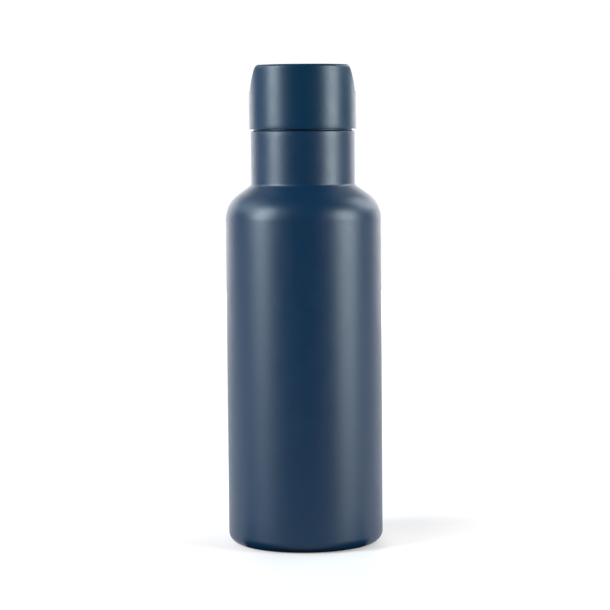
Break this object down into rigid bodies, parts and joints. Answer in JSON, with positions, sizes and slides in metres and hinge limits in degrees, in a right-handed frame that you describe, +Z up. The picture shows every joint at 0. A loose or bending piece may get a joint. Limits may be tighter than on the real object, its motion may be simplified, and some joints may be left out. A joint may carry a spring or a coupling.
{
  "type": "insulated water bottle",
  "caption": "Slim double-walled steel drinking bottle with a rounded shoulder, a straight neck and a screw-on cylindrical lid with side flats.",
  "frame": {"origin": "centre of the foot ring, at the level of the surface that the bottle stands on", "axes": "+Z up along the bottle's axis; the lid's two grip flats face +X and -X with the lid closed; the front is seen from -Y"},
  "size_m": [0.073, 0.073, 0.2248],
  "materials": {
    "coat": "satin dark navy powder coat with a very fine texture",
    "lid_plastic": "satin moulded plastic in the same navy",
    "liner_plastic": "moulded food-grade plastic, near black",
    "silicone": "translucent white silicone",
    "foam": "white closed-cell foam",
    "steel": "satin stainless steel",
    "vessel_steel": "electropolished stainless steel",
    "copper": "bright copper foil",
    "getter": "sintered grey metal powder",
    "sealing_glass": "fused dark green sealing glass"
  },
  "bodies": {
    "bottle": {"outer_shell": "coat", "outer_base": "steel", "port_seal_bead": "sealing_glass", "base_cover": "steel", "inner_vessel": "vessel_steel", "inner_base": "vessel_steel", "copper_foil_wrap": "copper", "copper_foil_disc": "copper", "getter_cup": "steel", "getter_pellet": "getter"},
    "lid_core": {"insulation_core": "foam", "mouth_gasket": "silicone"},
    "lid": {"lid_shell": "lid_plastic", "lid_liner": "liner_plastic"}
  },
  "joints": [
    {"name": "lid_lift", "type": "slide", "parent": "bottle", "child": "lid_core", "axis": [0, 0, 1], "range_m": [0, 0.0161]},
    {"name": "lid_turn", "type": "hinge", "parent": "lid_core", "child": "lid", "pos_m": [0, 0, 0.2], "axis": [0, 0, 1], "range_deg": [0, 720]}
  ],
  "couplings": [
    {"joint": "lid_lift", "follows": "lid_turn", "m_per_rad": 0.0012732}
  ]
}
